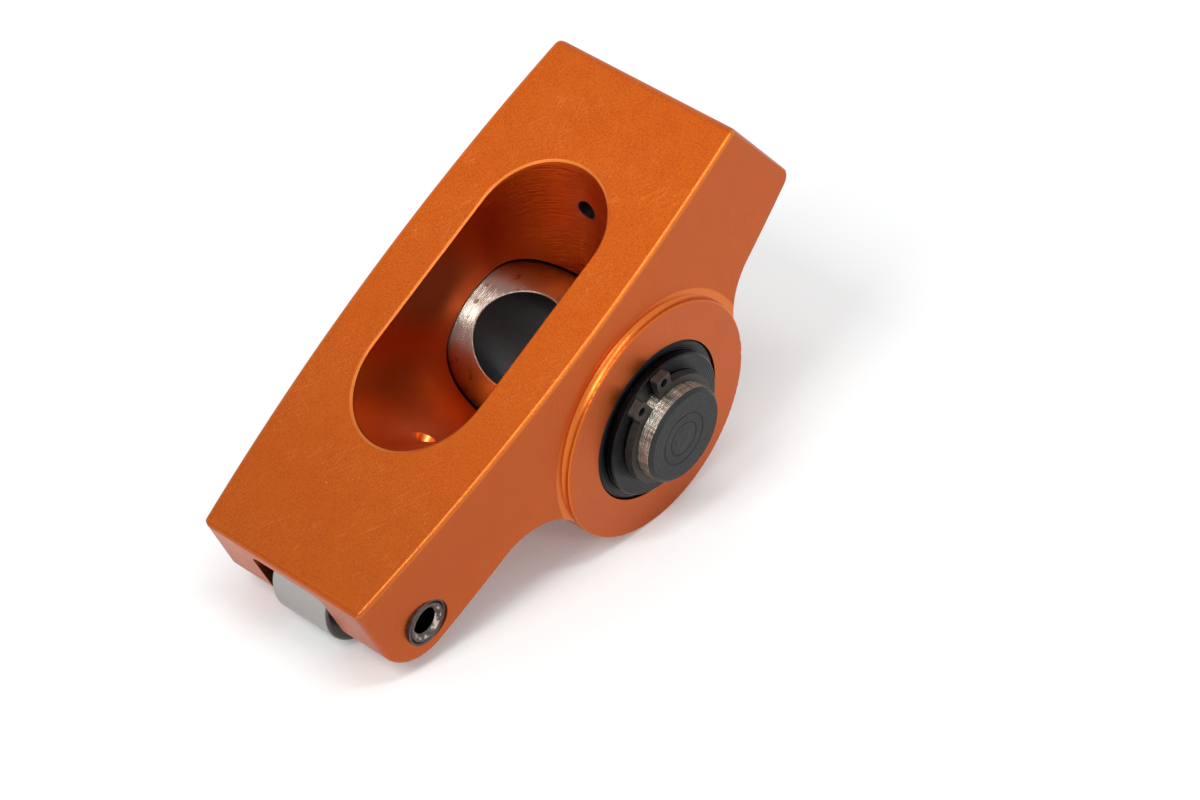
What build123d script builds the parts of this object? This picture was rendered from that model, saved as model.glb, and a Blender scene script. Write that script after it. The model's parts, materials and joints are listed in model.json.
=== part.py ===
from build123d import *
from math import asin, atan2, copysign, cos, floor, hypot, pi, radians, sin, sqrt, tan
import os

# Roller rocker arm for a stud mount: an extruded aluminium arm that rocks on a steel
# trunnion in needle bearings, with a roller in the nose and a pushrod seat in the tail.
#
# Millimetres. The origin is the trunnion's centre, +Y runs along the trunnion, +X points
# to the pushrod end and +Z is up. The arm rests on its round boss and on its roller, so it
# is pitched. Places on the arm are given in its own plane: x along the flat top face
# towards the tail, z square to that face, both counted from the trunnion's axis.

# Side profile of the arm
boss_radius = 15.2
top_height = 20.2
axle_reach = 35.65
axle_height = 9.85
nose_ahead = 6.05
nose_below = 4.45
nose_lean = 3.3
nose_rise = 4.6
nose_round = 5.3
nose_top_round = 0.8
tail_reach = 32.15
tail_height = 5.33
tail_tilt = 11.9
tail_round = 1.5
tail_top_round = 1.2
waist_round = 8.25

# Width of the arm
half_width = 14.65
side_bow_radius = 322.0
side_draft = 3.15
boss_half_width = 16.0
edge_round = 0.4
corner_round = 1.0
corner_overlap = 0.01
boss_rim_round = 0.25
boss_rim_depth = 0.3
boss_root_round = 1.0
slot_rim_chamfer = 0.25

# Stud slot: the paths of a nut above the trunnion and of the stud below it
nut_slot_radius = 8.2
stud_slot_radius = 6.5
slot_lean_tail = 21.05
slot_lean_nose = 33.97

# Trunnion
barrel_radius = 10.0
barrel_half = 9.0
journal_radius = 6.1
trunnion_chamfer = 0.45
stud_hole_radius = 5.75
stud_lean_nose = 11.66

# Needle bearings
bore_clearance = 0.25
cup_wall = 1.2
cup_lip = 0.7
cup_lip_radius = 7.2
cup_edge_round = 0.6
cup_inner_chamfer = 0.4
cup_inner_gap = 0.3
needle_fit = 0.02
needle_gap = 0.06
needle_end_gap = 0.1

# Thrust washers and snap rings
washer_radius = 9.1
washer_thick = 1.0
washer_bore_gap = 0.05
washer_gap = 0.1
washer_edge = 0.15
ring_thick = 1.05
ring_gap = 0.1
ring_width = 1.45
ring_groove_depth = 0.55
ring_groove_gap = 0.04
ring_end_land = 2.01
ring_half_gap = 7.5
ring_lean = 1.5
lug_radius = 8.9
lug_angle = 16.0
lug_hole_radius = 0.55
lug_round = 0.3
lug_root_round = 0.6

# Roller and axle
roller_radius = 7.0
roller_half_width = 4.35
roller_edge_round = 0.5
roller_fit = 0.03
roller_slot_half = 5.5
roller_slot_gap = 1.45
roller_slot_round = 1.5
axle_radius = 3.0
axle_proud = 0.1
axle_hole_radius = 1.65
axle_sink_radius = 2.2
axle_sink_depth = 0.5
axle_groove_radius = 2.62
axle_groove_half = 0.14
axle_groove_depth = 0.2

# Pushrod seat
seat_radius = 5.25
seat_length = 8.0
seat_proud = 0.6
seat_inset = 7.65
seat_chamfer = 0.4
socket_radius = 4.0
socket_mouth_radius = 4.5
socket_depth = 4.6
seat_oil_radius = 0.8

# Oil holes
oil_radius = 1.25
oil_height_tail = 13.9
oil_height_nose = 12.5
oil_slope_nose = 13.5
oil_overrun = 1.0

# Worked out from the sizes above
axle_distance = hypot(axle_reach, axle_height)
axle_angle = atan2(axle_height, axle_reach)
rest_pitch = axle_angle + asin((boss_radius - roller_radius) / axle_distance)
bore_radius = barrel_radius + bore_clearance
cutter_length = 2 * (top_height + nut_slot_radius)
arm_x = Vector(cos(rest_pitch), 0, sin(rest_pitch))
arm_z = Vector(-sin(rest_pitch), 0, cos(rest_pitch))
side_plane = Plane(origin=(0, 0, 0), x_dir=arm_x, z_dir=(0, -1, 0))
top_plane = Plane(origin=arm_z * top_height, x_dir=arm_x, z_dir=arm_z)


def on_arm(x, z):
    """A place on the arm's middle plane as a point of the whole part."""
    return arm_x * x + arm_z * z


def leaned(angle):
    """Direction square to the top face, leaned towards the tail by some degrees."""
    return arm_x * sin(radians(angle)) + arm_z * cos(radians(angle))


def nearest(shape, x, y):
    """The corner of a flat outline that lies nearest to a place in its plane."""
    return shape.vertices().sort_by_distance((x, y, 0))[0]


def side_width(x, z):
    """Half the arm's width at a place on its bowed and drafted side."""
    bow = side_bow_radius - sqrt(side_bow_radius**2 - x**2)
    return half_width - bow + (top_height - z) * tan(radians(side_draft))


def on_boss(x, z, ahead, slope):
    """Where a sloping line from a corner of the profile first meets the boss's circle."""
    run = ahead * cos(radians(slope))
    climb = sin(radians(slope))
    towards = x * run + z * climb
    length = -towards - sqrt(towards**2 - (x**2 + z**2 - boss_radius**2))
    return (x + length * run, z + length * climb)


def write(part, name):
    """Labels a finished piece and writes it to its own file."""
    part.label = name
    export_step(part, f"parts/{name}.step")


os.makedirs("parts", exist_ok=True)


# Corners of the side profile, before they are rounded
nose_foot_z = axle_height - nose_below - nose_ahead * tan(radians(nose_rise))
nose_foot_x = -axle_reach - nose_ahead - (axle_height - nose_foot_z) * tan(radians(nose_lean))
nose_top_x = nose_foot_x + (top_height - nose_foot_z) * tan(radians(nose_lean))
tail_top_x = tail_reach - (top_height - tail_height) * tan(radians(tail_tilt))
nose_waist = on_boss(nose_foot_x, nose_foot_z, 1, nose_rise)
tail_waist = on_boss(tail_reach, tail_height, -1, -tail_tilt)

# Blank: the extruded profile, narrowed by two sides that bow in plan and widen downwards
plan_reach = axle_reach + 2 * nose_ahead
plan_depth = 2 * top_height
plan_end = side_width(plan_reach, top_height)

with BuildPart() as side_limits:
    with BuildSketch(top_plane) as plan_outline:
        with BuildLine():
            far_side = ThreePointArc((-plan_reach, plan_end), (0, half_width), (plan_reach, plan_end))
            near_side = ThreePointArc((-plan_reach, -plan_end), (0, -half_width), (plan_reach, -plan_end))
            Line(far_side @ 0, near_side @ 0)
            Line(far_side @ 1, near_side @ 1)
        make_face()
    extrude(amount=-plan_depth, taper=-side_draft)

# Bars that cut the upright corners of both ends round, and lean as those corners do
with BuildPart() as corner_cuts:
    for top_x, lean, way in ((nose_top_x, -nose_lean, Align.MAX), (tail_top_x, tail_tilt, Align.MIN)):
        fall_x = tan(radians(lean))
        inset = copysign(corner_round - corner_overlap, lean)
        corner_y = side_width(top_x - inset, top_height) - abs(inset)
        for turn, side in ((1, Align.MIN), (-1, Align.MAX)):
            with BuildSketch(top_plane):
                with Locations((top_x - inset, turn * corner_y)):
                    Rectangle(2 * corner_round, 2 * corner_round, align=(way, side))
                    Circle(corner_round, mode=Mode.SUBTRACT)
            fall = arm_x * fall_x + Vector(0, turn * tan(radians(side_draft)), 0) - arm_z
            extrude(amount=plan_depth, dir=fall, both=True)

with BuildPart() as stud_slot:
    for lean, radius, way in (
        (slot_lean_tail, nut_slot_radius, 1),
        (-slot_lean_nose, nut_slot_radius, 1),
        (slot_lean_tail, stud_slot_radius, -1),
        (-slot_lean_nose, stud_slot_radius, -1),
    ):
        with BuildSketch(Plane(origin=(0, 0, 0), x_dir=(0, 1, 0), z_dir=leaned(lean) * way)):
            Circle(radius)
        extrude(amount=cutter_length)
    for radius, way in ((nut_slot_radius, 1), (stud_slot_radius, -1)):
        with BuildSketch(side_plane):
            with BuildLine():
                tail_ray = PolarLine((0, 0), way * cutter_length, 90 - slot_lean_tail)
                nose_ray = PolarLine((0, 0), way * cutter_length, 90 + slot_lean_nose)
                Line(tail_ray @ 1, nose_ray @ 1)
            make_face()
        extrude(amount=radius, both=True)

# Stock with the slot and its chamfered rim, larger than the arm all round but for its top
with BuildPart() as slotted_stock:
    with BuildSketch(top_plane):
        Rectangle(2 * plan_reach, 4 * half_width)
    extrude(amount=-plan_depth)
    add(stud_slot.part, mode=Mode.SUBTRACT)
    stock_top = slotted_stock.faces().sort_by(Axis((0, 0, 0), arm_z))[-1]
    chamfer(stock_top.inner_wires()[0].edges(), slot_rim_chamfer)

roller_slot_radius = roller_radius + roller_slot_gap
roller_slot_reach = 2 * roller_slot_radius

with BuildPart() as roller_slot:
    with BuildSketch(side_plane):
        with Locations((-axle_reach, axle_height)):
            Circle(roller_slot_radius)
            Rectangle(roller_slot_reach, roller_slot_radius, align=(Align.MAX, Align.MIN))
            Rectangle(roller_slot_reach, roller_slot_reach, align=(Align.MAX, Align.MAX))
            Rectangle(roller_slot_radius, roller_slot_reach, align=(Align.MIN, Align.MAX))
    extrude(amount=roller_slot_half, both=True)
    fillet(roller_slot.faces().sort_by(Axis((0, 0, 0), arm_z))[-1].edges().filter_by(Axis((0, 0, 0), arm_x)),
           roller_slot_round)

seat_axis = leaned(-tail_tilt)
seat_mouth = on_arm(tail_reach, tail_height) - leaned(90 - tail_tilt) * seat_inset
seat_ceiling = seat_mouth + seat_axis * (seat_length - seat_proud)

# Oil holes run from the slot's end walls, one to the seat's bore and one to the roller slot
tail_wall = oil_height_tail * tan(radians(slot_lean_tail)) + nut_slot_radius / cos(radians(slot_lean_tail))
nose_wall = oil_height_nose * tan(radians(slot_lean_nose)) + nut_slot_radius / cos(radians(slot_lean_nose))
tail_oil_run = seat_ceiling - on_arm(tail_wall, oil_height_tail)
tail_oil = on_arm(tail_wall, oil_height_tail) - tail_oil_run.normalized() * nut_slot_radius
tail_oil_run = tail_oil_run + tail_oil_run.normalized() * (nut_slot_radius + oil_overrun)
nose_oil_way = leaned(-90 - oil_slope_nose)
nose_oil = on_arm(-nose_wall, oil_height_nose) - nose_oil_way * nut_slot_radius
nose_oil_run = nose_oil_way * (nut_slot_radius + axle_reach - nose_wall)

# Side profile, with the round of the boss as its belly
with BuildSketch(side_plane) as profile:
    with BuildLine():
        Polyline(
            (nose_top_x, top_height),
            (nose_foot_x, nose_foot_z),
            nose_waist,
            tail_waist,
            (tail_reach, tail_height),
            (tail_top_x, top_height),
            close=True,
        )
    make_face()
    Circle(boss_radius)
    fillet(nearest(profile, *nose_waist), waist_round)
    fillet(nearest(profile, *tail_waist), waist_round)
    fillet(nearest(profile, nose_foot_x, nose_foot_z), nose_round)
    fillet(nearest(profile, nose_top_x, top_height), nose_top_round)
    fillet(nearest(profile, tail_reach, tail_height), tail_round)
    fillet(nearest(profile, tail_top_x, top_height), tail_top_round)

# Round boss on both sides: a small round on its rim and a cove down to the arm's side
with BuildPart() as boss:
    with BuildSketch(Plane.XY) as boss_section:
        Rectangle(boss_radius + boss_root_round, boss_half_width, align=Align.MIN)
        with Locations((boss_radius + boss_root_round, boss_half_width - boss_rim_depth)):
            Circle(boss_root_round, mode=Mode.SUBTRACT)
            Rectangle(boss_root_round, boss_rim_depth, align=(Align.MAX, Align.MIN), mode=Mode.SUBTRACT)
        fillet(nearest(boss_section, boss_radius, boss_half_width), boss_rim_round)
        mirror(about=Plane.XZ)
    revolve(axis=Axis.Y)
    extrude(profile.sketch, amount=boss_half_width, both=True, mode=Mode.INTERSECT)

with BuildPart() as arm_body:
    extrude(profile.sketch, amount=boss_half_width, both=True)
    add(side_limits.part, mode=Mode.INTERSECT)
    fillet(arm_body.faces().sort_by(Axis.Y)[0].edges(), edge_round)
    fillet(arm_body.faces().sort_by(Axis.Y)[-1].edges(), edge_round)
    add(corner_cuts.part, mode=Mode.SUBTRACT)
    add(boss.part)
    with BuildSketch(side_plane):
        Circle(bore_radius)
    extrude(amount=boss_half_width, both=True, mode=Mode.SUBTRACT)
    add(slotted_stock.part, mode=Mode.INTERSECT)
    add(roller_slot.part, mode=Mode.SUBTRACT)
    with BuildSketch(side_plane):
        with Locations((-axle_reach, axle_height)):
            Circle(axle_radius)
    extrude(amount=boss_half_width, both=True, mode=Mode.SUBTRACT)
    with BuildSketch(Plane(origin=seat_ceiling, z_dir=-seat_axis)):
        Circle(seat_radius)
    extrude(amount=seat_length, mode=Mode.SUBTRACT)
    for start, run in ((tail_oil, tail_oil_run), (nose_oil, nose_oil_run)):
        with BuildSketch(Plane(origin=start, z_dir=run)):
            Circle(oil_radius)
        extrude(amount=run.length, mode=Mode.SUBTRACT)

write(arm_body.part, "arm_body")

# Trunnion: barrel, two journals with a ring groove each, and the stud hole across it
cup_inner = barrel_half + cup_inner_gap
washer_inner = boss_half_width + washer_gap
ring_inner = washer_inner + washer_thick + ring_gap
trunnion_half = ring_inner + ring_thick + ring_groove_gap + ring_end_land
groove_radius = journal_radius - ring_groove_depth

with BuildPart() as trunnion:
    with BuildSketch(Plane.XY) as half_section:
        with BuildLine():
            Polyline(
                (0, 0),
                (barrel_radius, 0),
                (barrel_radius, barrel_half),
                (journal_radius, barrel_half),
                (journal_radius, ring_inner - ring_groove_gap),
                (groove_radius, ring_inner - ring_groove_gap),
                (groove_radius, ring_inner + ring_thick + ring_groove_gap),
                (journal_radius, ring_inner + ring_thick + ring_groove_gap),
                (journal_radius, trunnion_half),
                (0, trunnion_half),
                close=True,
            )
        make_face()
        chamfer(nearest(half_section, barrel_radius, barrel_half), trunnion_chamfer)
        chamfer(nearest(half_section, journal_radius, trunnion_half), trunnion_chamfer)
        mirror(about=Plane.XZ)
    revolve(axis=Axis.Y)
    with BuildSketch(Plane(origin=(0, 0, 0), z_dir=leaned(-stud_lean_nose))):
        Circle(stud_hole_radius)
    extrude(amount=cutter_length, both=True, mode=Mode.SUBTRACT)

write(trunnion.part, "trunnion")

# The bearings, washers and rings are the same on both ends, so each is drawn once at the
# far end and turned over for the near one
cup_inside = bore_radius - cup_wall
needle_radius = (cup_inside - journal_radius) / 2 - needle_fit
needle_circle = journal_radius + needle_fit + needle_radius
needle_count = floor(pi / asin((needle_radius + needle_gap / 2) / needle_circle))
needle_start = cup_inner + cup_lip + needle_end_gap
needle_length = boss_half_width - cup_lip - needle_end_gap - needle_start

with BuildPart() as bearing_cup:
    with BuildSketch(Plane.XY) as cup_section:
        with BuildLine():
            Polyline(
                (cup_lip_radius, cup_inner),
                (bore_radius, cup_inner),
                (bore_radius, boss_half_width),
                (cup_lip_radius, boss_half_width),
                (cup_lip_radius, boss_half_width - cup_lip),
                (cup_inside, boss_half_width - cup_lip),
                (cup_inside, cup_inner + cup_lip),
                (cup_lip_radius, cup_inner + cup_lip),
                close=True,
            )
        make_face()
        chamfer(nearest(cup_section, bore_radius, cup_inner), cup_inner_chamfer)
        fillet(nearest(cup_section, bore_radius, boss_half_width), cup_edge_round)
    revolve(axis=Axis.Y)

with BuildPart() as thrust_washer:
    with BuildSketch(Plane.XZ.offset(-washer_inner)):
        Circle(washer_radius)
        Circle(journal_radius + washer_bore_gap, mode=Mode.SUBTRACT)
    extrude(amount=-washer_thick)
    chamfer(thrust_washer.edges().filter_by(GeomType.CIRCLE).sort_by(SortBy.RADIUS)[-2:], washer_edge)

ring_radius = groove_radius + ring_width
lug_middle = (ring_radius + lug_radius) / 2
lug_width = 2 * lug_middle * tan(radians(lug_angle / 2))
lug_turn = ring_half_gap + lug_angle / 2
lug_foot = ring_radius - ring_width / 2

with BuildPart() as snap_ring:
    with BuildSketch(Plane(origin=(0, ring_inner, 0), x_dir=leaned(ring_lean), z_dir=(0, 1, 0))) as ring_outline:
        Circle(ring_radius)
        with PolarLocations(0, 2, start_angle=-lug_turn, angular_range=2 * lug_turn, endpoint=True):
            with Locations(((lug_foot + lug_radius) / 2, 0)):
                Rectangle(lug_radius - lug_foot, lug_width)
        fillet(ring_outline.vertices().group_by(SortBy.DISTANCE)[-2], lug_root_round)
        fillet(ring_outline.vertices().group_by(SortBy.DISTANCE)[-1], lug_round)
        Circle(groove_radius, mode=Mode.SUBTRACT)
        with PolarLocations(lug_middle, 2, start_angle=-lug_turn, angular_range=2 * lug_turn, endpoint=True):
            Circle(lug_hole_radius, mode=Mode.SUBTRACT)
        with BuildLine():
            low_edge = PolarLine((0, 0), 2 * lug_radius, -ring_half_gap)
            high_edge = PolarLine((0, 0), 2 * lug_radius, ring_half_gap)
            Line(low_edge @ 1, high_edge @ 1)
        make_face(mode=Mode.SUBTRACT)
    extrude(amount=ring_thick)

for name, piece in (("bearing_cup", bearing_cup), ("thrust_washer", thrust_washer), ("snap_ring", snap_ring)):
    write(piece.part, f"{name}_right")
    write(mirror(piece.part, about=Plane.XZ, mode=Mode.PRIVATE), f"{name}_left")

# Needle rollers, a full set in each cup
for side, start in (("left", -needle_start - needle_length), ("right", needle_start)):
    for number in range(needle_count):
        turn = 2 * pi * number / needle_count
        middle = Vector(needle_circle * sin(turn), start, needle_circle * cos(turn))
        with BuildPart() as needle:
            with BuildSketch(Plane(origin=middle, z_dir=(0, 1, 0))):
                Circle(needle_radius)
            extrude(amount=needle_length)
        write(needle.part, f"needle_{side}_{number + 1:02d}")

# Roller tip on its staked axle
axle_end = side_width(axle_reach, axle_height) + axle_proud
axle_plane = Plane(origin=on_arm(-axle_reach, axle_height), x_dir=arm_x, z_dir=(0, -1, 0))

with BuildPart() as roller_tip:
    with BuildSketch(axle_plane):
        Circle(roller_radius)
    extrude(amount=roller_half_width, both=True)
    fillet(roller_tip.edges().filter_by(GeomType.CIRCLE), roller_edge_round)
    with BuildSketch(axle_plane):
        Circle(axle_radius + roller_fit)
    extrude(amount=roller_half_width, both=True, mode=Mode.SUBTRACT)

write(roller_tip.part, "roller_tip")

with BuildPart() as roller_axle:
    with BuildSketch(Plane(origin=on_arm(-axle_reach, axle_height), x_dir=arm_x, z_dir=arm_z)) as axle_section:
        with BuildLine():
            Polyline(
                (axle_hole_radius, 0),
                (axle_radius, 0),
                (axle_radius, axle_end),
                (axle_groove_radius + axle_groove_half, axle_end),
                (axle_groove_radius, axle_end - axle_groove_depth),
                (axle_groove_radius - axle_groove_half, axle_end),
                (axle_sink_radius, axle_end),
                (axle_hole_radius, axle_end - axle_sink_depth),
                close=True,
            )
        make_face()
        mirror(about=Plane.XZ)
    revolve(axis=Axis(on_arm(-axle_reach, axle_height), (0, 1, 0)))

write(roller_axle.part, "roller_axle")

# Pushrod seat, pressed into the underside of the tail
seat_face = seat_mouth - seat_axis * seat_proud
socket_centre = socket_depth - socket_radius

with BuildPart() as pushrod_seat:
    with BuildSketch(Plane(origin=seat_face, x_dir=(0, 1, 0), z_dir=leaned(90 - tail_tilt))) as seat_section:
        with BuildLine():
            Polyline((0, 0), (seat_radius, 0), (seat_radius, seat_length), (0, seat_length), close=True)
        make_face()
        chamfer(nearest(seat_section, seat_radius, 0), seat_chamfer)
        chamfer(nearest(seat_section, seat_radius, seat_length), seat_chamfer)
        with Locations((0, socket_centre)):
            Circle(socket_radius, mode=Mode.SUBTRACT)
        with BuildLine():
            Polyline((0, 0), (socket_mouth_radius, 0), (socket_radius, socket_centre), (0, socket_centre), close=True)
        make_face(mode=Mode.SUBTRACT)
        Rectangle(2 * seat_oil_radius, 2 * seat_length, mode=Mode.SUBTRACT)
        split(bisect_by=Plane.YZ)
    revolve(axis=Axis(seat_face, seat_axis))

write(pushrod_seat.part, "pushrod_seat")
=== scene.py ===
import json
from math import cos, radians, sin, tan, tau

import bpy
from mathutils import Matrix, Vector


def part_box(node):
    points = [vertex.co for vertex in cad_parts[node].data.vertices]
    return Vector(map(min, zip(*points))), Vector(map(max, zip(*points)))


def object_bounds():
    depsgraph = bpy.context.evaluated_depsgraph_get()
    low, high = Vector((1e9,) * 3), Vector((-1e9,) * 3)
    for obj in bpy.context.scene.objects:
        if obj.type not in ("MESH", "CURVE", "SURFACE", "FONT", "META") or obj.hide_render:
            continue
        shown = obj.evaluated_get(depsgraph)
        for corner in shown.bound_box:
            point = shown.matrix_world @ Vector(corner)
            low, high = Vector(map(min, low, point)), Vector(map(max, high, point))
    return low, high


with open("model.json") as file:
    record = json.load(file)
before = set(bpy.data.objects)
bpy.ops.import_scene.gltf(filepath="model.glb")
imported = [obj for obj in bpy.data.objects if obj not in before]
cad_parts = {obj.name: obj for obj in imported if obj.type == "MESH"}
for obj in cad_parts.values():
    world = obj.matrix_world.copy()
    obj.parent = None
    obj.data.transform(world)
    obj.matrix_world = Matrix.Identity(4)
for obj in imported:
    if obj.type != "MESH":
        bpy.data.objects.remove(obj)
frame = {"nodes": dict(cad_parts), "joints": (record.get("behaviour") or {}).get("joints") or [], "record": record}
cad_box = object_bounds()

# The camera of the photograph, in metres and degrees in the part's own frame
PHOTO_WIDTH = 1200
FOCAL_PIXELS = 4299.2
SENSOR_MM = 36.0
CAMERA_PLACE = (-0.28627, -0.25988, 0.32171)
CAMERA_TURN = (49.717, -0.049, -48.524)

# Directions and places that the frame gives
MM = 0.001
CENTRE = (0, 0, 0)
SIDEWAYS = (0, 1, 0)
UPRIGHT = (0, 0, 1)
FLOOR_HEIGHT = cad_box[0][2]
MOUNTS = {mount["name"]: mount for mount in frame["record"]["mounts"]}
ARM_UP = -Vector(MOUNTS["valve_contact"]["axis"])
ARM_ALONG = Vector((ARM_UP.z, 0.0, -ARM_UP.x))
STUD_AXIS = Vector(MOUNTS["stud_hole"]["axis"])
STUD_HOLE_RADIUS = MOUNTS["stud_hole"]["dims"]["r_mm"] * MM
SOCKET = MOUNTS["pushrod_socket"]
TRUNNION_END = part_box("trunnion")[1].y

# The arm: height of its top face above the trunnion's axis, half its width, and the rounds of its side
TOP_FACE = 20.2 * MM
HALF_WIDTH = 14.65 * MM
SIDE_BOW = 322.0 * MM
BOSS_RADIUS = 15.2 * MM

# The stud slot: half its width, how its ends lean, and how far out they start at the trunnion's height
SLOT_HALF = 8.2 * MM
TAIL_LEAN = tan(radians(21.05))
NOSE_LEAN = tan(radians(33.97))
UPPER_END_TAIL = 8.95 * MM
UPPER_END_NOSE = 10.05 * MM
LOWER_END_TAIL = 8.0 * MM
LOWER_END_NOSE = 7.15 * MM

# The oil holes in the slot's end walls: where they start, and the way they run
OIL_RADIUS = 1.25 * MM
SEAT_CEILING = Vector(SOCKET["pos_m"]) - Vector(SOCKET["axis"]) * 7.4 * MM
TAIL_OIL = ARM_ALONG * 14.14 * MM + ARM_UP * 13.9 * MM
TAIL_OIL_WAY = (SEAT_CEILING - TAIL_OIL).normalized()
NOSE_OIL = ARM_ALONG * -18.31 * MM + ARM_UP * 12.5 * MM
NOSE_OIL_SLOPE = radians(13.5)
NOSE_OIL_WAY = ARM_ALONG * cos(NOSE_OIL_SLOPE) + ARM_UP * sin(NOSE_OIL_SLOPE)

# The trunnion: where its barrel ends, and the middle and the radii of the grooves turned in its ends
BARREL_END = 9 * MM
GROOVE_CENTRE = ARM_ALONG * -0.4 * MM + ARM_UP * 0.2 * MM
GROOVE_RADII = (3.35 * MM, 2.15 * MM)

# The roller and its axle
AXLE = Vector(next(joint["pos_m"] for joint in frame["joints"] if joint["name"] == "roller_spin"))
AXLE_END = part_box("roller_axle")[1].y
AXLE_BORE_RADIUS = 1.65 * MM
AXLE_SINK_RADIUS = 2.2 * MM
ROLLER_RADIUS = MOUNTS["valve_contact"]["dims"]["r_mm"] * MM

scene = bpy.context.scene
camera = bpy.data.objects.new("camera", bpy.data.cameras.new("camera"))
scene.collection.objects.link(camera)
scene.camera = camera
camera.data.sensor_width = SENSOR_MM
camera.data.lens = FOCAL_PIXELS / PHOTO_WIDTH * SENSOR_MM
camera.location = CAMERA_PLACE
camera.rotation_euler = [radians(turn) for turn in CAMERA_TURN]
camera.data.clip_start = 0.01


class Value:
    """A shader socket on which ordinary arithmetic adds Math nodes."""

    def __init__(self, nodes, socket):
        self.nodes = nodes
        self.socket = socket

    def math(self, operation, first, second=0.0):
        node = self.nodes.add("ShaderNodeMath", {"operation": operation}, {0: first, 1: second})
        return Value(self.nodes, node.outputs[0])

    def __add__(self, other):
        return self.math("ADD", self, other)

    def __sub__(self, other):
        return self.math("SUBTRACT", self, other)

    def __rsub__(self, other):
        return self.math("SUBTRACT", other, self)

    def __mul__(self, other):
        return self.math("MULTIPLY", self, other)

    def __truediv__(self, other):
        return self.math("DIVIDE", self, other)

    def __abs__(self):
        return self.math("ABSOLUTE", self)

    __radd__ = __add__
    __rmul__ = __mul__

    def sine(self):
        return self.math("SINE", self)

    def lower(self, other):
        return self.math("MINIMUM", self, other)

    def higher(self, other):
        return self.math("MAXIMUM", self, other)

    def zigzag(self, width):
        """Straight ridges: climbs from 0 to the width and back, over and over."""
        return self.math("PINGPONG", self, width)

    def rise(self, start, end):
        """0 before start and 1 after end, with a smooth change between them."""
        node = self.nodes.add(
            "ShaderNodeMapRange",
            {"interpolation_type": "SMOOTHSTEP"},
            {"Value": self, "From Min": start, "From Max": end},
        )
        return Value(self.nodes, node.outputs[0])

    def fall(self, start, end):
        """1 before start and 0 after end, with a smooth change between them."""
        return 1 - self.rise(start, end)


class Nodes:
    """A tree of nodes, and the one way in which nodes are added to it."""

    def __init__(self, tree):
        self.tree = tree

    def fill(self, node, inputs):
        """Gives a node's sockets their values or links."""
        for key, value in inputs.items():
            if isinstance(value, Value):
                value = value.socket
            if isinstance(value, bpy.types.NodeSocket):
                self.tree.links.new(value, node.inputs[key])
            else:
                node.inputs[key].default_value = value

    def add(self, kind, settings=None, inputs=None):
        """Makes a node: its settings first, then its sockets."""
        node = self.tree.nodes.new(kind)
        for name, value in (settings or {}).items():
            setattr(node, name, value)
        self.fill(node, inputs or {})
        return node

    def in_view(self):
        """1 where the camera or a reflection looks at the surface, 0 where light bounces off it."""
        rays = self.add("ShaderNodeLightPath").outputs
        seen = Value(self, rays["Is Camera Ray"]).higher(Value(self, rays["Is Glossy Ray"]))
        return seen.higher(Value(self, rays["Is Transmission Ray"]))


class Finish(Nodes):
    """A material in the making: its nodes, its places on the piece and its shader."""

    def __init__(self, name, **constants):
        self.material = bpy.data.materials.new(name)
        self.material.use_nodes = True
        super().__init__(self.material.node_tree)
        self.shader = self.tree.nodes["Principled BSDF"]
        self.fill(self.shader, {socket.replace("_", " "): value for socket, value in constants.items()})
        self.place = self.add("ShaderNodeTexCoord").outputs["Object"]

    def feed(self, socket, value):
        self.fill(self.shader, {socket: value})

    def along(self, direction):
        """How far the surface lies along a direction, in metres."""
        inputs = {0: self.place, 1: tuple(direction)}
        node = self.add("ShaderNodeVectorMath", {"operation": "DOT_PRODUCT"}, inputs)
        return Value(self, node.outputs["Value"])

    def from_line(self, point, direction):
        """Distance of the surface from a line through the piece."""
        inputs = {0: self.place, 1: tuple(point)}
        offset = self.add("ShaderNodeVectorMath", {"operation": "SUBTRACT"}, inputs)
        inputs = {0: offset.outputs[0], 1: tuple(direction)}
        crossed = self.add("ShaderNodeVectorMath", {"operation": "CROSS_PRODUCT"}, inputs)
        node = self.add("ShaderNodeVectorMath", {"operation": "LENGTH"}, {0: crossed.outputs[0]})
        return Value(self, node.outputs["Value"])

    def noise(self, size, detail=2.0, rough=0.5, place=None):
        """Soft random grain with blotches of about the given size in metres, from 0 to 1."""
        inputs = {"Vector": place or self.place, "Scale": 1 / size, "Detail": detail, "Roughness": rough}
        return Value(self, self.add("ShaderNodeTexNoise", {}, inputs).outputs[0])

    def streaks(self, scale, detail=2.0, rough=0.6, turn=(0, 0, 0)):
        """Random grain drawn out to the given size each way in metres, and turned in degrees."""
        inputs = {"Vector": self.place, "Scale": scale, "Rotation": [radians(angle) for angle in turn]}
        stretched = self.add("ShaderNodeMapping", {"vector_type": "TEXTURE"}, inputs)
        return self.noise(1.0, detail, rough, stretched.outputs[0])

    def spots(self, spacing, size):
        """Scattered round spots: 1 inside and 0 outside."""
        inputs = {"Vector": self.place, "Scale": 1 / spacing}
        cells = Value(self, self.add("ShaderNodeTexVoronoi", {}, inputs).outputs["Distance"])
        return cells.fall(size / spacing * 0.5, size / spacing)

    def turned(self, radius, pitch, wander):
        """Waves at a pitch along the radius, as a lathe leaves them, from -1 to 1."""
        return (radius * (tau / pitch) + wander).sine()

    def mix(self, factor, first, second):
        return self.add("ShaderNodeMix", {"data_type": "RGBA"}, {0: factor, 6: first, 7: second}).outputs[2]

    def bump(self, height, depth):
        """Raises the surface by height times depth, depth in metres."""
        node = self.add("ShaderNodeBump", {}, {"Strength": 1.0, "Distance": depth, "Height": height})
        self.feed("Normal", node.outputs[0])

    def dress(self, *names):
        """Puts the finish on CAD nodes, which keep their own meshes."""
        for name in names:
            for slot in frame["nodes"][name].material_slots:
                slot.material = self.material


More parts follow.
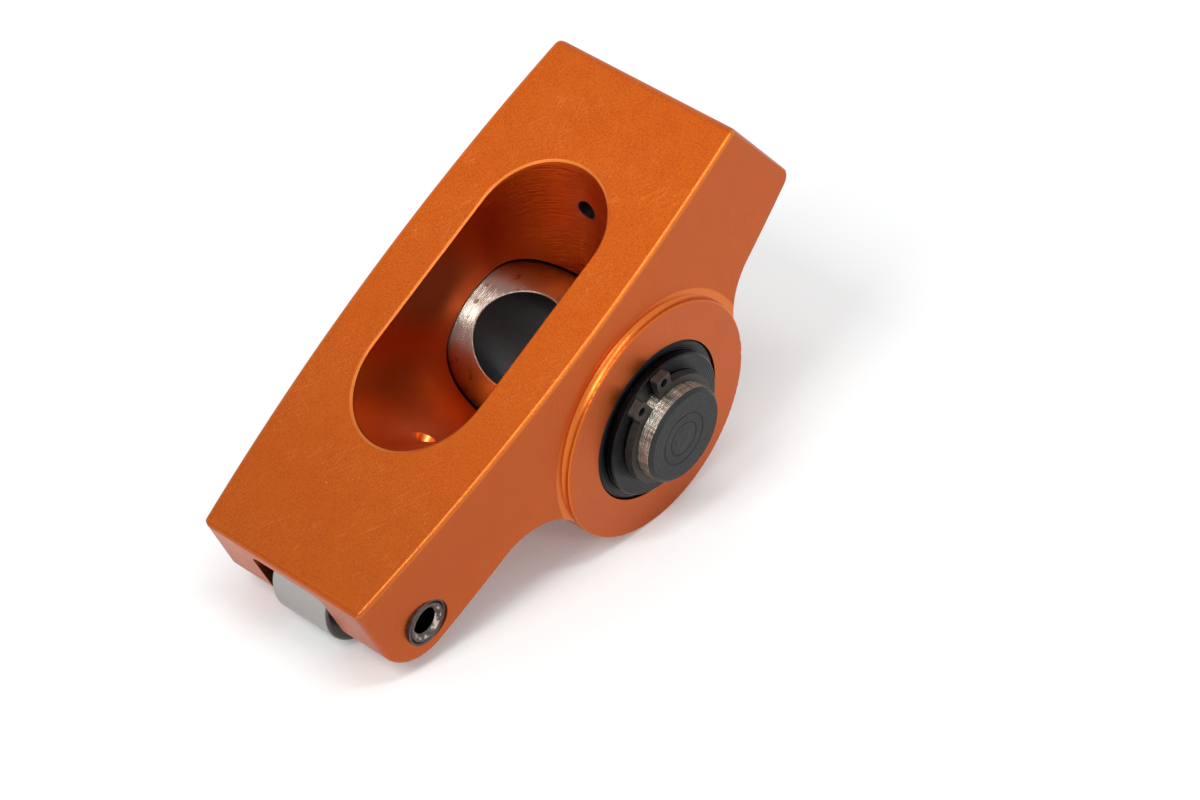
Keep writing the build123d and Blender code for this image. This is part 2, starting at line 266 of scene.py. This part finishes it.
ORANGE = (0.60, 0.117, 0.009, 1)
ORANGE_DEEP = (0.46, 0.074, 0.005, 1)
ORANGE_PAINTED_BOUNCE = (0.74, 0.122, 0.010, 1)
ORANGE_SLOT_SHADE = (0.36, 0.052, 0.004, 1)
ORANGE_FLANK_SHADE = (0.46, 0.083, 0.009, 1)
ORANGE_WORN_AND_HIGHLIGHT = (0.94, 0.34, 0.08, 1)
GRIME_AND_SHADE = (0.20, 0.045, 0.008, 1)
OIL_STEEL = (0.10, 0.11, 0.13, 1)

# How the top face and the cutter's marks lean, and each kind of scratch: its way and its length in mm
TOP_FACE_TURN = -28.25
CUTTER_TURN = -12
SCRATCHES = ((12, 2.6), (64, 1.7), (-38, 3.2))


def orange_anodised():
    """Satin dyed aluminium: grainy flat top, smoother sides, machined slot, small nicks."""
    finish = Finish("orange_anodised", Metallic=1.0, Coat_Weight=0.1, Coat_Roughness=0.35)
    height = finish.along(ARM_UP)
    reach = finish.along(ARM_ALONG)
    noseward = 0 - reach
    across = abs(finish.along(SIDEWAYS))
    radius = finish.from_line(CENTRE, SIDEWAYS)

    # Where each kind of surface is: the top, its edges, the coves round the bosses
    top = height.rise(TOP_FACE - 0.3 * MM, TOP_FACE - 0.1 * MM)
    past_side = across - HALF_WIDTH + reach * reach / (2 * SIDE_BOW)
    edge = past_side.rise(-0.55 * MM, -0.25 * MM) * height.rise(TOP_FACE - 0.6 * MM, TOP_FACE - 0.3 * MM)
    cove = radius.rise(BOSS_RADIUS - 0.3 * MM, BOSS_RADIUS)
    cove = cove * radius.fall(BOSS_RADIUS + 0.9 * MM, BOSS_RADIUS + 1.2 * MM)
    cove = cove * across.rise(HALF_WIDTH - 0.3 * MM, HALF_WIDTH)

    # The slot with its rim, and the flanks, which are what remains outside
    above = (reach - height * TAIL_LEAN).fall(UPPER_END_TAIL, UPPER_END_TAIL + 0.3 * MM)
    above = above * (noseward - height * NOSE_LEAN).fall(UPPER_END_NOSE, UPPER_END_NOSE + 0.3 * MM)
    below = (reach + height * NOSE_LEAN).fall(LOWER_END_TAIL, LOWER_END_TAIL + 0.3 * MM)
    below = below * (height * TAIL_LEAN - reach).fall(LOWER_END_NOSE, LOWER_END_NOSE + 0.3 * MM)
    below = below * radius.fall(BOSS_RADIUS - 0.4 * MM, BOSS_RADIUS - 0.1 * MM)
    upper = height.rise(-0.5 * MM, 0.5 * MM)
    slot = across.fall(SLOT_HALF + 0.05 * MM, SLOT_HALF + 0.3 * MM) * (above * upper + below * (1 - upper))
    slot = slot * height.fall(TOP_FACE - 0.6 * MM, TOP_FACE - 0.3 * MM)
    tail_wall = reach.rise(4 * MM, 9 * MM)
    rim = across.fall(SLOT_HALF + 0.3 * MM, SLOT_HALF + 0.5 * MM)
    rim = rim * height.rise(TOP_FACE - 0.3 * MM, TOP_FACE - 0.2 * MM)
    rim = rim * height.fall(TOP_FACE - 0.04 * MM, TOP_FACE - 0.01 * MM) * abs(reach).fall(26 * MM, 28 * MM)
    flank = (1 - top) * (1 - slot) * (1 - edge) * (1 - cove)
    flank = flank * across.rise(SLOT_HALF + 1 * MM, SLOT_HALF + 2 * MM)

    # The dye's own grain and cloudiness, the cutter's marks, painted bounce light and painted shade in the slot,
    # and the oil holes, the nose one with a painted glint
    grain = finish.noise(0.22 * MM, 3.0, 0.65)
    mottle = finish.noise(3.5 * MM, 4.0, 0.6)
    shade = (grain - 0.5) * (top * 3.0 + 0.5) + (mottle - 0.5) * 0.9 + 0.4
    colour = finish.mix(shade, ORANGE, ORANGE_DEEP)
    # Painted bounce light: the slot's walls and bottom are painted a brighter, redder orange
    colour = finish.mix(slot * 0.8, colour, ORANGE_PAINTED_BOUNCE)
    milled = finish.streaks((6.0 * MM, 6.0 * MM, 0.14 * MM), turn=(0, CUTTER_TURN, 0)) * slot * tail_wall
    # Painted shade in the slot, deepest on the tail wall, with the cutter's marks showing lighter through it
    colour = finish.mix(slot * (tail_wall * 0.5 + 0.1) - milled * 0.25, colour, ORANGE_SLOT_SHADE)
    # The tail oil hole is painted dark steel; the nose oil hole is painted bright orange as a painted glint
    for place, way, tone in ((TAIL_OIL, TAIL_OIL_WAY, OIL_STEEL), (NOSE_OIL, NOSE_OIL_WAY, ORANGE_WORN_AND_HIGHLIGHT)):
        inside = finish.from_line(place, way).fall(OIL_RADIUS + 0.02 * MM, OIL_RADIUS + 0.08 * MM)
        inside = inside * height.fall(TOP_FACE - 3 * MM, TOP_FACE - 2 * MM)
        inside = inside * abs(reach).fall(26 * MM, 27 * MM)
        colour = finish.mix(inside * 0.85, colour, tone)

    # Painted shade on the flanks, painted highlights on the coves and along the top edges and slot rim where the
    # dye is also worn, and the dye worn thin in nicks and scratches
    # Painted shade: the flanks are darker than the top
    colour = finish.mix(flank * 0.75, colour, ORANGE_FLANK_SHADE)
    # Painted highlight on the coves round the bosses, where the dye is also a little worn
    colour = finish.mix(cove * 0.22, colour, ORANGE_WORN_AND_HIGHLIGHT)
    # Painted highlight along the top edges and the slot's rim, with some real edge wear, broken up by the
    # cloudiness
    colour = finish.mix((edge * 0.5 + rim).lower(1.0) * (mottle * 0.6 + 0.15), colour, ORANGE_WORN_AND_HIGHLIGHT)
    patches = finish.noise(9.0 * MM, 2.0, 0.5)
    nicks = finish.spots(3.4 * MM, 0.16 * MM) + finish.spots(1.5 * MM, 0.09 * MM)
    nicks = nicks * patches.rise(0.45, 0.6)
    for turn, length in SCRATCHES:
        scale = (length * MM, 0.05 * MM, length * MM)
        scratch = finish.streaks(scale, 0.0, 0.5, (0, TOP_FACE_TURN, turn)).rise(0.745, 0.78)
        nicks = scratch * patches.rise(0.48, 0.6) * 0.6 + nicks
    wear = (nicks * (top * 0.8 + 0.2)).lower(1.0)
    colour = finish.mix(wear * 0.7, colour, ORANGE_WORN_AND_HIGHLIGHT)

    # Dirt in spots near the nose, and painted shade that grows towards it, weaker low down
    dirt = finish.noise(2.2 * MM, 4.0, 0.65).rise(0.55, 0.75) * noseward.rise(26 * MM, 42 * MM) * top
    colour = finish.mix(dirt * 0.5, colour, GRIME_AND_SHADE)
    # Painted shade: darker towards the nose, on the top and the flanks but not in the slot
    nose_shade = noseward.rise(-15 * MM, 45 * MM) * (top * 0.24 + 0.22) * (1 - slot)
    nose_shade = nose_shade * (height.rise(5 * MM, 14 * MM) * 0.7 + 0.3)
    finish.feed("Base Color", finish.mix(nose_shade, colour, GRIME_AND_SHADE))

    smooth = 0.37 + top * 0.05 + slot * 0.03 - cove * 0.06 - edge * 0.06
    finish.feed("Roughness", (grain - 0.5) * 0.15 + (mottle - 0.5) * 0.1 + smooth + dirt * 0.2)
    finish.bump(grain * (top * 0.9 + 0.25 - cove * 0.2) + milled * 4.5 - wear * 0.8, 0.02 * MM)
    return finish


TRUNNION_GROUND = (0.36, 0.33, 0.295, 1)
TRUNNION_STAINED = (0.15, 0.10, 0.06, 1)
TRUNNION_HANDLED = (0.66, 0.62, 0.50, 1)
TRUNNION_BLACK = (0.010, 0.010, 0.011, 1)
TRUNNION_GREY = (0.040, 0.040, 0.042, 1)
TRUNNION_GROOVE_SHADE = (0.004, 0.004, 0.004, 1)


def steel_trunnion():
    """Ground barrel and journals, black hole and ends with turning rings."""
    finish = Finish("trunnion_steel")
    sideways = finish.along(SIDEWAYS)
    end = abs(sideways)
    radius = finish.from_line(CENTRE, SIDEWAYS)
    from_hole = finish.from_line(CENTRE, STUD_AXIS)
    off_centre = finish.from_line(GROOVE_CENTRE, SIDEWAYS)
    face = end.rise(TRUNNION_END - 0.5 * MM, TRUNNION_END - 0.44 * MM)
    black = from_hole.fall(STUD_HOLE_RADIUS + 0.05 * MM, STUD_HOLE_RADIUS + 0.12 * MM).higher(face)
    hole_rim = from_hole.fall(STUD_HOLE_RADIUS + 0.12 * MM, STUD_HOLE_RADIUS + 0.26 * MM)
    journal = end.rise(BARREL_END, BARREL_END + 3 * MM)

    lines = finish.streaks((6 * MM, 0.05 * MM, 6 * MM))
    stain = finish.noise(1.6 * MM, 3.0, 0.6).rise(0.58, 0.68)
    ground = finish.mix(stain * 0.75 + lines * 0.25, TRUNNION_GROUND, TRUNNION_STAINED)
    handled = finish.streaks((0.5 * MM, 8 * MM, 0.5 * MM), 3.0).rise(0.45, 0.6) * journal
    ground = finish.mix(handled * 0.75, ground, TRUNNION_HANDLED)
    outer, inner = [abs(off_centre - groove_radius) for groove_radius in GROOVE_RADII]
    groove = outer.fall(0.08 * MM, 0.24 * MM) + inner.fall(0.06 * MM, 0.22 * MM)
    oxide = finish.mix(finish.noise(0.5 * MM, 3.0), TRUNNION_BLACK, TRUNNION_GREY)
    # Painted shade in the grooves turned in the trunnion's ends
    oxide = finish.mix(groove * face * 0.8, oxide, TRUNNION_GROOVE_SHADE)
    finish.feed("Base Color", finish.mix(black, ground, oxide))
    finish.feed("Metallic", 1.0 - black * 0.4)
    finish.feed("Roughness", lines * 0.08 + black * 0.24 + journal * 0.10 + 0.13)

    turning = finish.turned(radius, 0.42 * MM, finish.noise(2.0 * MM) * 2.0) * 0.5
    pip = finish.noise(0.4 * MM, 2.0) * off_centre.fall(1.0 * MM, 1.8 * MM)
    turning = turning - groove * 8.0 + pip * 8.0
    ridges = sideways.zigzag(0.06 * MM) / (0.036 * MM)
    grinding = lines * (journal * 2.5 + 1.0) + ridges * (1 - journal)
    finish.bump(grinding * (1 - black) + turning * face - hole_rim * 3.0, 0.012 * MM)
    return finish


OXIDE_BLACK = (0.002, 0.002, 0.003, 1)
OXIDE_GREY = (0.017, 0.017, 0.020, 1)


def black_oxide(name, shine):
    """Blackened steel with fine turned lines round the trunnion's axis."""
    finish = Finish(name, Metallic=0.85)
    cloud = finish.noise(1.2 * MM, 3.0, 0.6)
    finish.feed("Base Color", finish.mix(cloud, OXIDE_BLACK, OXIDE_GREY))
    finish.feed("Roughness", cloud * 0.15 + shine)
    turned = finish.turned(finish.from_line(CENTRE, SIDEWAYS), 0.24 * MM, finish.noise(3.0 * MM) * 4.0)
    finish.bump(turned + finish.noise(0.1 * MM) * 0.5, 0.012 * MM)
    return finish


PHOSPHATE_DEEP = (0.026, 0.023, 0.021, 1)
PHOSPHATE_PALE = (0.090, 0.076, 0.066, 1)


def spring_steel():
    """Stamped ring: brown-grey phosphate with a matt grain."""
    finish = Finish("spring_steel", Metallic=0.8)
    cloud = finish.noise(0.7 * MM, 3.0, 0.6)
    finish.feed("Base Color", finish.mix(cloud, PHOSPHATE_DEEP, PHOSPHATE_PALE))
    finish.feed("Roughness", cloud * 0.25 + 0.38)
    finish.bump(finish.noise(0.08 * MM) + cloud, 0.015 * MM)
    return finish


TREAD_PALE = (0.42, 0.405, 0.39, 1)
TREAD_DEEP = (0.32, 0.31, 0.295, 1)
ROLLER_SIDE_PALE = (0.11, 0.105, 0.10, 1)
ROLLER_SIDE_DEEP = (0.06, 0.058, 0.055, 1)
ROLLER_SPECK = (0.12, 0.11, 0.10, 1)


def roller_steel():
    """Ground roller: pale outside with lines round it, darker sides and a few specks."""
    finish = Finish("roller_steel", Metallic=1.0)
    radius = finish.from_line(AXLE, SIDEWAYS)
    tread = radius.rise(ROLLER_RADIUS - 0.15 * MM, ROLLER_RADIUS - 0.02 * MM)
    lines = finish.streaks((5 * MM, 0.06 * MM, 5 * MM))
    pale = finish.mix(lines, TREAD_PALE, TREAD_DEEP)
    dark = finish.mix(lines, ROLLER_SIDE_PALE, ROLLER_SIDE_DEEP)
    specks = finish.spots(2.4 * MM, 0.1 * MM)
    finish.feed("Base Color", finish.mix(specks * 0.7, finish.mix(tread, dark, pale), ROLLER_SPECK))
    finish.feed("Roughness", 0.30 + lines * 0.12)
    finish.bump(lines * 0.3, 0.01 * MM)
    return finish


AXLE_DEEP = (0.03, 0.024, 0.022, 1)
AXLE_PALE = (0.16, 0.13, 0.12, 1)
AXLE_SCUFFED = (0.55, 0.46, 0.40, 1)
AXLE_BORE = (0.02, 0.018, 0.016, 1)


def axle_steel():
    """Hardened pin with staked ends, a scuffed countersink and a dark bore."""
    finish = Finish("axle_steel", Metallic=1.0)
    radius = finish.from_line(AXLE, SIDEWAYS)
    end = abs(finish.along(SIDEWAYS))
    sink = radius.fall(AXLE_SINK_RADIUS - 0.05 * MM, AXLE_SINK_RADIUS + 0.05 * MM)
    sink = sink * end.rise(AXLE_END - 0.6 * MM, AXLE_END - 0.5 * MM)
    bore = radius.fall(AXLE_BORE_RADIUS + 0.01 * MM, AXLE_BORE_RADIUS + 0.07 * MM)
    cloud = finish.noise(0.5 * MM, 3.0, 0.6)
    scuffed = finish.noise(0.9 * MM, 3.0, 0.6).rise(0.45, 0.6)
    colour = finish.mix(cloud, AXLE_DEEP, AXLE_PALE)
    colour = finish.mix(sink * scuffed, colour, AXLE_SCUFFED)
    # Painted shade inside the axle's bore
    finish.feed("Base Color", finish.mix(bore, colour, AXLE_BORE))
    finish.feed("Roughness", cloud * 0.25 + 0.25)
    finish.bump(cloud * 1.5, 0.04 * MM)
    return finish


NEEDLE_PALE = (0.60, 0.60, 0.60, 1)
NEEDLE_DEEP = (0.48, 0.48, 0.48, 1)


def needle_steel():
    """Polished needle with faint lines round it."""
    finish = Finish("needle_steel", Metallic=1.0)
    lines = finish.streaks((3 * MM, 0.05 * MM, 3 * MM))
    finish.feed("Base Color", finish.mix(lines, NEEDLE_PALE, NEEDLE_DEEP))
    finish.feed("Roughness", lines * 0.1 + 0.15)
    return finish


orange_anodised().dress("arm_body")
steel_trunnion().dress("trunnion")
black_oxide("cup_oxide", 0.16).dress("bearing_cup_left", "bearing_cup_right")
black_oxide("washer_oxide", 0.17).dress("thrust_washer_left", "thrust_washer_right")
spring_steel().dress("snap_ring_left", "snap_ring_right")
roller_steel().dress("roller_tip")
axle_steel().dress("roller_axle")
black_oxide("seat_oxide", 0.30).dress("pushrod_seat")
needle_steel().dress(*(name for name in frame["nodes"] if name.startswith("needle_")))

# The floor: half its side, its paint, and how it glows close to the part and far from it
FLOOR_HALF = 3.0
FLOOR_PAINT = (0.885, 0.903, 0.905, 1)
CLOSE, FAR = 0.2, 1.2
CLOSE_GLOW, FAR_GLOW = 0.12, 0.48

# The sky: its colour, how strongly it lights, and how bright it looks
WHITE = (1, 1, 1, 1)
SKY_LIGHT = 0.62
SKY_LOOK = 1.0

# Flat lamps: name, place, length and width in metres, and watts
LAMPS = (
    ("overhead", (-0.10, -0.14, 0.70), 0.34, 0.07, 1.0),
    ("front", (-0.06, -0.58, 0.38), 0.12, 0.12, 0.35),
    ("left", (-0.45, -0.02, 0.54), 0.22, 0.26, 1.9),
)


def pale_floor():
    """A pale floor that keeps the shadow and grows white towards its far edge."""
    mesh = bpy.data.meshes.new("floor")
    corners = [(x * FLOOR_HALF, y * FLOOR_HALF, 0) for x, y in ((-1, -1), (1, -1), (1, 1), (-1, 1))]
    mesh.from_pydata(corners, [], [(0, 1, 2, 3)])
    floor = bpy.data.objects.new("floor", mesh)
    floor.location.z = FLOOR_HEIGHT
    scene.collection.objects.link(floor)
    finish = Finish("floor", Base_Color=FLOOR_PAINT, Roughness=0.9, Emission_Strength=1.0)
    away = finish.from_line(CENTRE, UPRIGHT).rise(CLOSE, FAR)
    glow = away * (FAR_GLOW - CLOSE_GLOW) + CLOSE_GLOW
    finish.feed("Emission Color", finish.in_view() * glow)
    mesh.materials.append(finish.material)


def pale_surroundings():
    """A pale sky that is plain white wherever it is seen or mirrored."""
    world = bpy.data.worlds.new("surroundings")
    scene.world = world
    world.use_nodes = True
    sky = Nodes(world.node_tree)
    light = sky.add("ShaderNodeBackground", {}, {"Color": WHITE, "Strength": SKY_LIGHT})
    look = sky.add("ShaderNodeBackground", {}, {"Color": WHITE, "Strength": SKY_LOOK})
    inputs = {0: sky.in_view(), 1: light.outputs[0], 2: look.outputs[0]}
    choice = sky.add("ShaderNodeMixShader", {}, inputs)
    sky.fill(sky.tree.nodes["World Output"], {0: choice.outputs[0]})


def soft_box(name, place, length, width, watts):
    """A flat lamp that faces the trunnion's centre."""
    light = bpy.data.lights.new(name, "AREA")
    light.shape = "RECTANGLE"
    light.size = length
    light.size_y = width
    light.energy = watts
    lamp = bpy.data.objects.new(name, light)
    lamp.location = place
    lamp.rotation_euler = (-Vector(place)).to_track_quat("-Z", "Y").to_euler()
    scene.collection.objects.link(lamp)


pale_floor()
pale_surroundings()
for lamp in LAMPS:
    soft_box(*lamp)

scene.view_settings.view_transform = "Standard"
